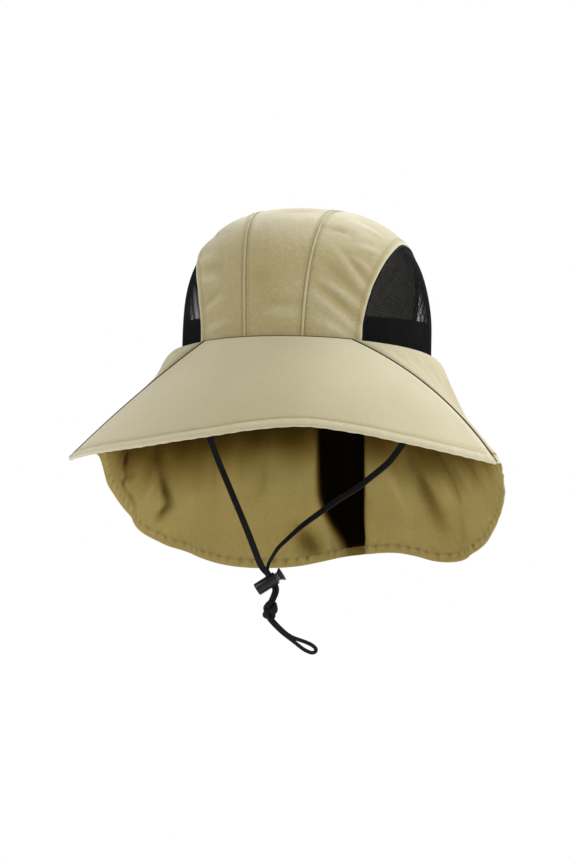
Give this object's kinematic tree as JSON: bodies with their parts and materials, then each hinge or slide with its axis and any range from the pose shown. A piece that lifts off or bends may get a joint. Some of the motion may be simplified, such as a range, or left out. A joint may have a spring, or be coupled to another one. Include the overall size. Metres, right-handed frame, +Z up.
{
  "type": "legionnaire cap",
  "caption": "Soft sun cap with a wide drooping brim, net side windows, a deep neck cape and a chin cord with a sprung cord lock.",
  "frame": {"origin": "middle of the head opening, at the height of the seam between the crown and the brim", "axes": "+Z up through the crown, -Y to the front over the brim, +X to the wearer's left"},
  "size_m": [0.286, 0.3392, 0.3039],
  "materials": {
    "crown_cloth": "fine plain-woven khaki cloth, matt",
    "brim_cloth": "stiffened khaki cloth, matt and smooth",
    "cape_cloth": "soft khaki cloth, matt",
    "black_net": "open black diamond net",
    "black_band": "dense black sweatband cloth",
    "dark_piping": "dark brown piping",
    "black_cord": "soft flat black lace",
    "black_plastic": "moulded black plastic"
  },
  "bodies": {
    "cap": {"crown_centre_panel": "crown_cloth", "crown_side_panel_left": "crown_cloth", "crown_side_panel_right": "crown_cloth", "mesh_panel_left": "black_net", "mesh_panel_right": "black_net", "sweatband": "black_band", "brim": "brim_cloth", "brim_binding_left": "dark_piping", "brim_binding_right": "dark_piping", "neck_cape_left": "cape_cloth", "neck_cape_pleat": "cape_cloth", "neck_cape_right": "cape_cloth", "chin_cord_left": "black_cord", "chin_cord_right": "black_cord", "cord_lock_body": "black_plastic", "cord_tail": "black_cord", "cord_knot": "black_cord", "cord_loop": "black_cord"},
    "lock_button": {"cord_lock_button": "black_plastic"}
  },
  "joints": [
    {"name": "button_press", "type": "slide", "parent": "cap", "child": "lock_button", "axis": [-0.8255, -0.1307, -0.549], "range_m": [0, 0.002], "stiffness_N_per_m": 500}
  ]
}
